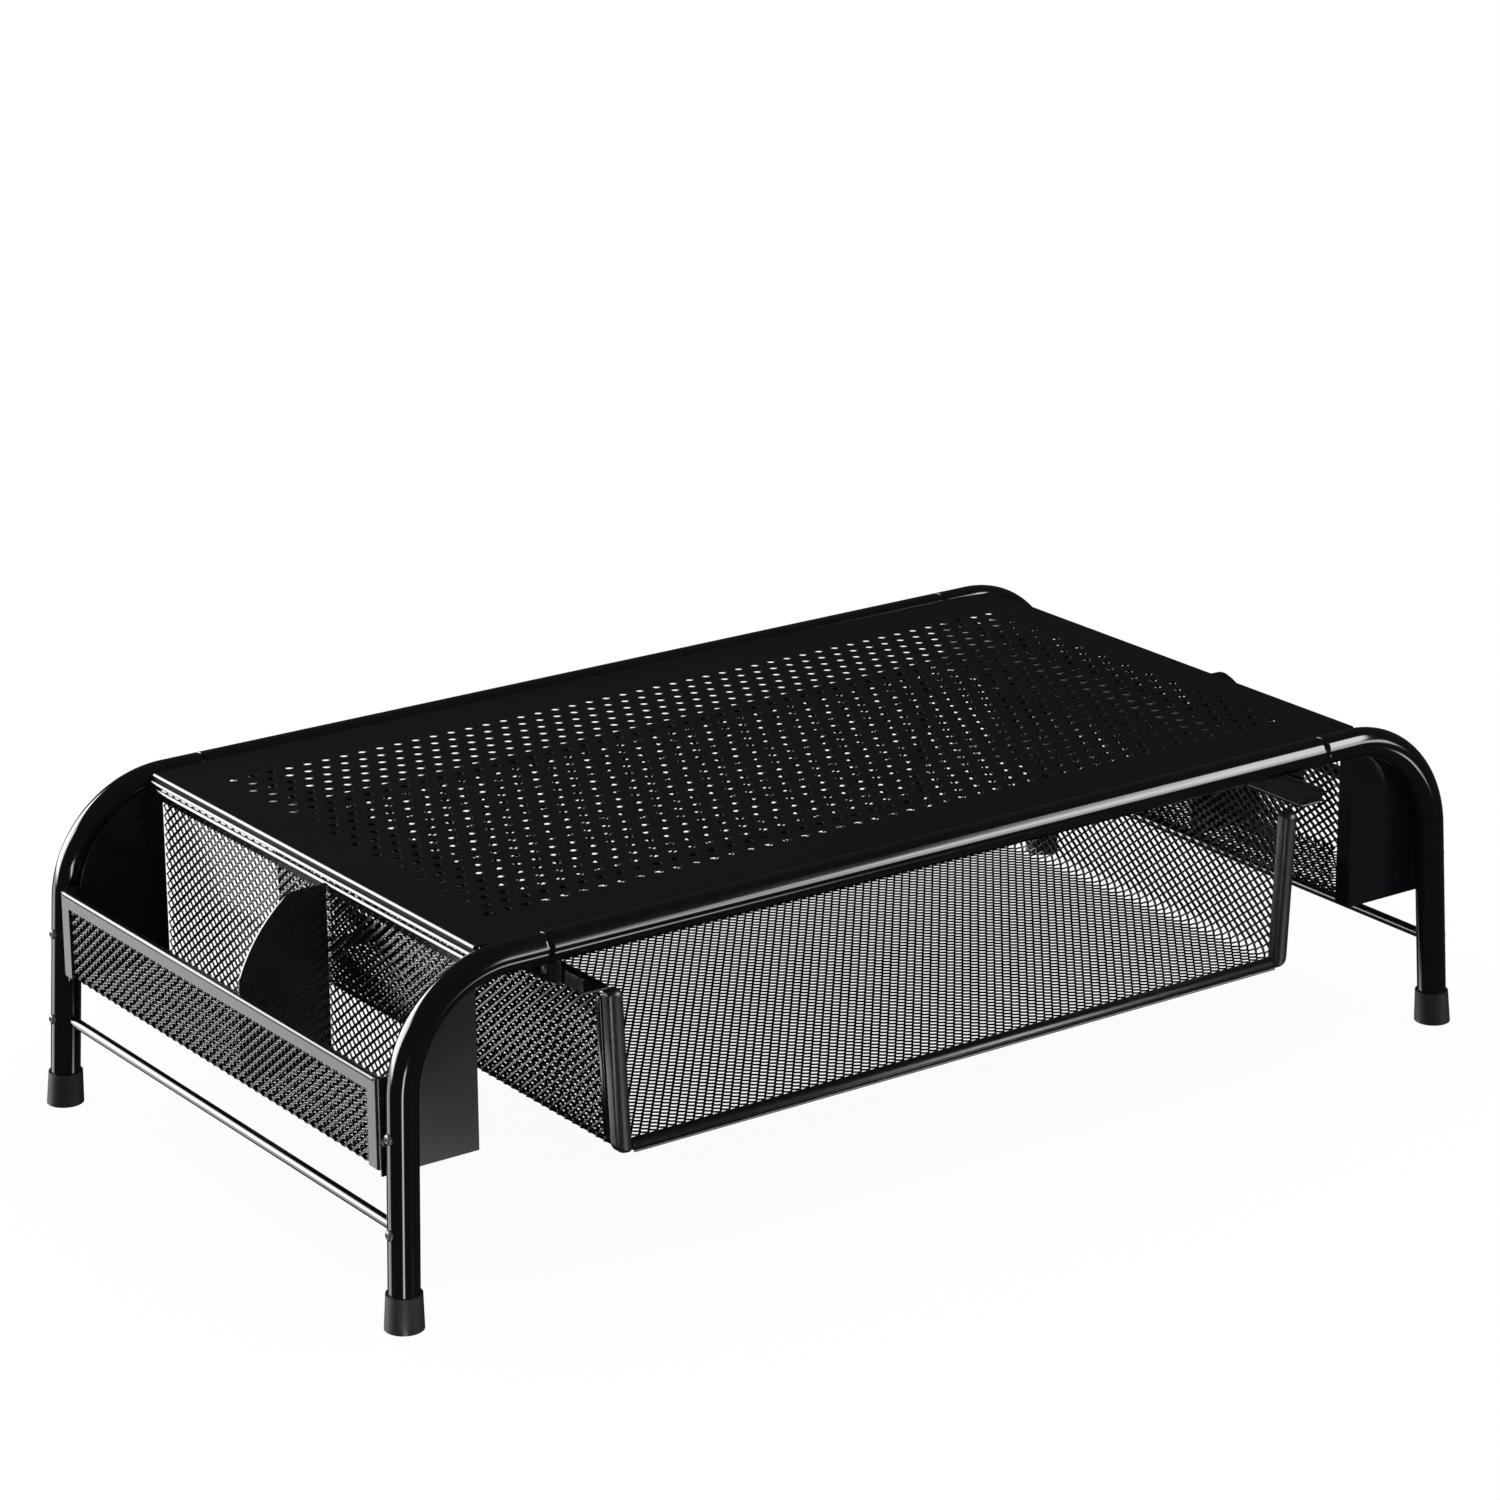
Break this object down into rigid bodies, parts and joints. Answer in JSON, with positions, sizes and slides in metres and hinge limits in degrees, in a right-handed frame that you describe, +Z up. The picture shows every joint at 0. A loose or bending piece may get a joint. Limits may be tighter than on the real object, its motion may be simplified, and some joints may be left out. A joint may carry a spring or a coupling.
{
  "type": "desk riser",
  "caption": "Low steel desk riser: perforated deck on bent-tube legs, open mesh bin on each side and a mesh drawer that slides out under the deck.",
  "frame": {"origin": "bottom centre of the overall box, on the desk surface", "axes": "+X to the right along the rails, +Y to the back, +Z up; the drawer opens towards -Y"},
  "size_m": [0.52, 0.2749, 0.1364],
  "materials": {
    "tube_coat": "black powder coat, semi-gloss",
    "deck_coat": "black powder coat, satin",
    "plate_coat": "black powder coat, satin",
    "trim_coat": "black powder coat, semi-gloss",
    "mesh_coat": "black coated expanded metal",
    "foot_rubber": "matte black rubber"
  },
  "bodies": {
    "riser": {"deck": "deck_coat", "foot_caps": "foot_rubber", "front_legs": "tube_coat", "front_rail": "tube_coat", "left_bin_divider": "plate_coat", "left_bin_floor": "mesh_coat", "left_bin_front_panel": "plate_coat", "left_bin_inner_wall": "mesh_coat", "left_bin_outer_frame": "trim_coat", "left_bin_outer_wall": "mesh_coat", "left_bin_rear_panel": "plate_coat", "left_bin_top_strip": "trim_coat", "left_cross_rod": "tube_coat", "left_runner": "trim_coat", "rear_legs": "tube_coat", "rear_rail": "tube_coat", "right_bin_divider": "plate_coat", "right_bin_floor": "mesh_coat", "right_bin_front_panel": "plate_coat", "right_bin_inner_wall": "mesh_coat", "right_bin_outer_frame": "trim_coat", "right_bin_outer_wall": "mesh_coat", "right_bin_rear_panel": "plate_coat", "right_bin_top_strip": "trim_coat", "right_cross_rod": "tube_coat", "right_runner": "trim_coat"},
    "drawer": {"drawer_floor": "mesh_coat", "drawer_front_frame": "trim_coat", "drawer_rear": "mesh_coat", "drawer_rear_frame": "trim_coat", "left_drawer_side": "mesh_coat", "left_slide": "trim_coat", "right_drawer_side": "mesh_coat", "right_slide": "trim_coat"}
  },
  "joints": [
    {"name": "drawer_slide", "type": "slide", "parent": "riser", "child": "drawer", "axis": [0, -1, 0], "range_m": [0, 0.19]}
  ]
}
